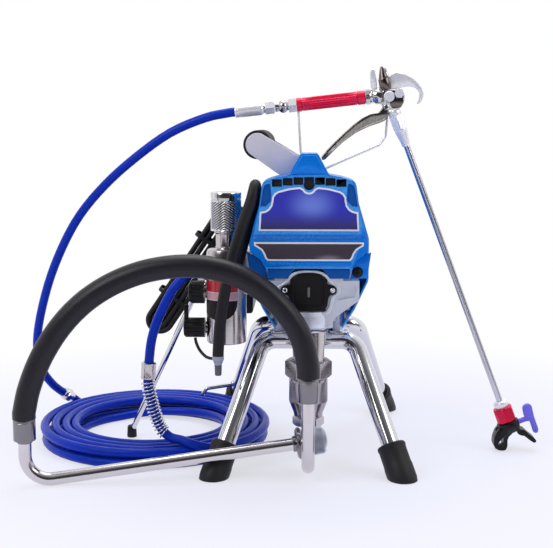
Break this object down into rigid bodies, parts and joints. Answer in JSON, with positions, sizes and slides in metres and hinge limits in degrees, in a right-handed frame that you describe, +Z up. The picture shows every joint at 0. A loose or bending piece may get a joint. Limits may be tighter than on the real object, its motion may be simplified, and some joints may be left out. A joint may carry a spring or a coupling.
{
  "type": "airless paint sprayer",
  "caption": "Airless paint sprayer on a tube stand, with piston pump, motor, filter, suction set, coiled paint hose, power cord, carry handle and spray gun.",
  "frame": {"origin": "on the floor, under the middle of the sprayer and its gun without the free hoses and cord", "axes": "+X towards the gun nozzle and away from the suction hose, +Y from the pump and badges at the front to the rear shroud, +Z up"},
  "size_m": [0.7507, 0.448, 0.5483],
  "materials": {
    "chrome": "polished",
    "stainless_steel": "satin",
    "cast_aluminium": "bead blasted",
    "dark_steel": "plain",
    "winding_copper": "varnished copper winding",
    "blue_paint": "gloss",
    "badge_blue": "gloss",
    "badge_dark": "gloss",
    "black_plastic": "matt",
    "black_rubber": "matt",
    "grey_paint": "satin",
    "grey_plastic": "matt",
    "blue_hose": "gloss",
    "red_anodised": "anodised",
    "violet_plastic": "gloss"
  },
  "bodies": {
    "machine": {"front_frame": "chrome", "rear_frame": "chrome", "side_stay": "chrome", "filter_cap": "chrome", "outlet_fitting": "chrome", "spring_guard": "chrome", "hose_coupling": "chrome", "hose_ferrule": "chrome", "trigger_guard": "chrome", "pump_cylinder": "stainless_steel", "jam_nut": "stainless_steel", "intake_valve": "stainless_steel", "inlet_nut": "stainless_steel", "inlet_elbow": "stainless_steel", "intake_pipe": "stainless_steel", "strainer": "stainless_steel", "filter_body": "stainless_steel", "guard_collar": "stainless_steel", "gun_body": "stainless_steel", "gun_end_cap": "stainless_steel", "lance_tube": "stainless_steel", "gear_housing": "cast_aluminium", "motor_body": "dark_steel", "front_cover": "blue_paint", "rear_shroud": "blue_paint", "upper_badge_plate": "badge_blue", "lower_badge_plate": "badge_dark", "pump_door": "black_plastic", "cover_screw": "black_plastic", "control_box": "black_plastic", "plug": "black_plastic", "tip_guard": "black_plastic", "foot_cap_front_left": "black_rubber", "foot_cap_front_right": "black_rubber", "foot_cap_rear_left": "black_rubber", "foot_cap_rear_right": "black_rubber", "suction_hose": "black_rubber", "drain_hose": "black_rubber", "handle_grip": "black_rubber", "strain_relief": "black_rubber", "cord_lead": "black_rubber", "cord_hank": "black_rubber", "handle_bracket": "grey_paint", "drain_nozzle": "grey_plastic", "hose_riser": "blue_hose", "hose_coil": "blue_hose", "hose_whip": "blue_hose", "gun_handle": "red_anodised", "tip_nut": "red_anodised"},
    "trigger": {"gun_trigger": "dark_steel"},
    "lock_lever": {"trigger_lock": "stainless_steel"},
    "spray_tip_key": {"tip_key": "violet_plastic"},
    "pressure_control": {"pressure_knob": "black_plastic"},
    "drain_valve": {"drain_valve_knob": "black_plastic"},
    "rocker": {"power_switch": "black_rubber"},
    "rotor": {"motor_rotor": "winding_copper"},
    "crank": {"crank_gear": "dark_steel"},
    "piston": {"piston_rod": "chrome"},
    "ball": {"inlet_ball": "stainless_steel"},
    "hose_swivel_nut": {"swivel_nut": "chrome"}
  },
  "joints": [
    {"name": "trigger_pull", "type": "hinge", "parent": "machine", "child": "trigger", "pos_m": [0.1309, -0.026, 0.4815], "axis": [0, 1, 0], "range_deg": [0, 18], "stiffness_Nm_per_rad": 0.6, "springref_deg": -11.46},
    {"name": "lock_turn", "type": "hinge", "parent": "machine", "child": "lock_lever", "pos_m": [0.1154, -0.026, 0.5183], "axis": [0, -1, 0], "range_deg": [0, 45]},
    {"name": "tip_key_turn", "type": "hinge", "parent": "machine", "child": "spray_tip_key", "pos_m": [0.31541, -0.026, 0.03643], "axis": [0.9342, 0, 0.3567], "range_deg": [0, 180]},
    {"name": "pressure_knob_turn", "type": "hinge", "parent": "machine", "child": "pressure_control", "pos_m": [-0.1149, -0.086, 0.2375], "axis": [-1, 0, 0], "range_deg": [0, 270]},
    {"name": "drain_valve_turn", "type": "hinge", "parent": "machine", "child": "drain_valve", "pos_m": [-0.1149, -0.086, 0.188], "axis": [-1, 0, 0], "range_deg": [0, 90]},
    {"name": "power_switch_rock", "type": "hinge", "parent": "machine", "child": "rocker", "pos_m": [-0.0761, 0.111, 0.229], "axis": [1, 0, 0], "range_deg": [-9, 9]},
    {"name": "motor_spin", "type": "hinge", "parent": "machine", "child": "rotor", "pos_m": [0.0269, -0.084, 0.338], "axis": [0, 1, 0], "continuous": true},
    {"name": "crank_spin", "type": "hinge", "parent": "machine", "child": "crank", "pos_m": [0.0269, -0.084, 0.293], "axis": [0, 1, 0], "continuous": true},
    {"name": "piston_stroke", "type": "slide", "parent": "machine", "child": "piston", "axis": [0, 0, 1], "range_m": [-0.012, 0.012]},
    {"name": "inlet_ball_lift", "type": "slide", "parent": "machine", "child": "ball", "axis": [0, 0, 1], "range_m": [0, 0.003]},
    {"name": "hose_swivel", "type": "hinge", "parent": "machine", "child": "hose_swivel_nut", "pos_m": [0.0086, -0.026, 0.49247], "axis": [-0.9939, 0, -0.1107], "continuous": true}
  ],
  "couplings": [
    {"joint": "crank_spin", "follows": "motor_spin", "ratio": -0.2}
  ]
}
